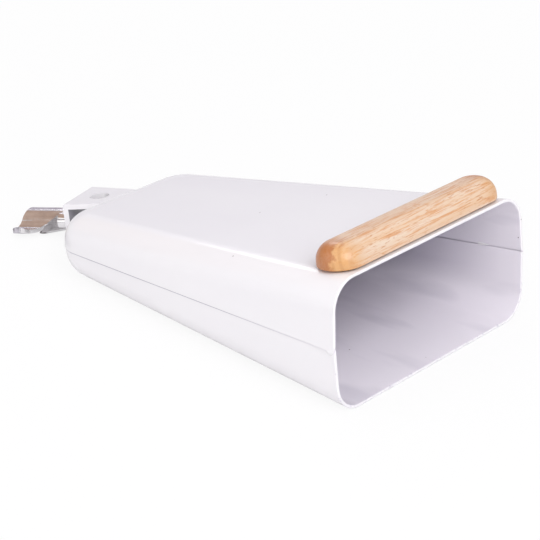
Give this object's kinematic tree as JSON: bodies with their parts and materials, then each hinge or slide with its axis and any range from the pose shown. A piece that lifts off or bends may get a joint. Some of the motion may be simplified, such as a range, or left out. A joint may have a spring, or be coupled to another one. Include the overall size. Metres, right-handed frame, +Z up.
{
  "type": "cowbell",
  "caption": "Flared hand-percussion bell of two lapped white steel shells, with a wooden strike bar at the mouth and a wing-nut rod clamp at the closed end.",
  "frame": {"origin": "middle of the lower face that the bell lies on", "axes": "+X towards the mouth, +Z up from the lower face, +Y to the far side when the mouth is on the right"},
  "size_m": [0.26, 0.1414, 0.0719],
  "materials": {
    "enamel": "gloss",
    "bar_wood": "lacquered",
    "screw_steel": "plain",
    "plated_steel": "polished"
  },
  "bodies": {
    "bell": {"top_shell": "enamel", "bottom_shell": "enamel", "strike_bar": "bar_wood", "bar_screws": "screw_steel", "mount_bracket": "enamel", "flat_washer": "plated_steel"},
    "clamp_bolt": {"eye_bolt": "plated_steel"},
    "clamp_nut": {"wing_nut": "plated_steel"}
  },
  "joints": [
    {"name": "wing_nut_spin", "type": "hinge", "parent": "bell", "child": "clamp_nut", "pos_m": [-0.12358, -0.00606, 0.00987], "axis": [0.9397, 0.309, 0.1467], "range_deg": [0, 720]},
    {"name": "eye_draw", "type": "slide", "parent": "bell", "child": "clamp_bolt", "axis": [-0.9397, -0.309, -0.1467], "range_m": [0, 0.002]}
  ],
  "couplings": [
    {"joint": "eye_draw", "follows": "wing_nut_spin", "m_per_rad": 0.00015915}
  ]
}
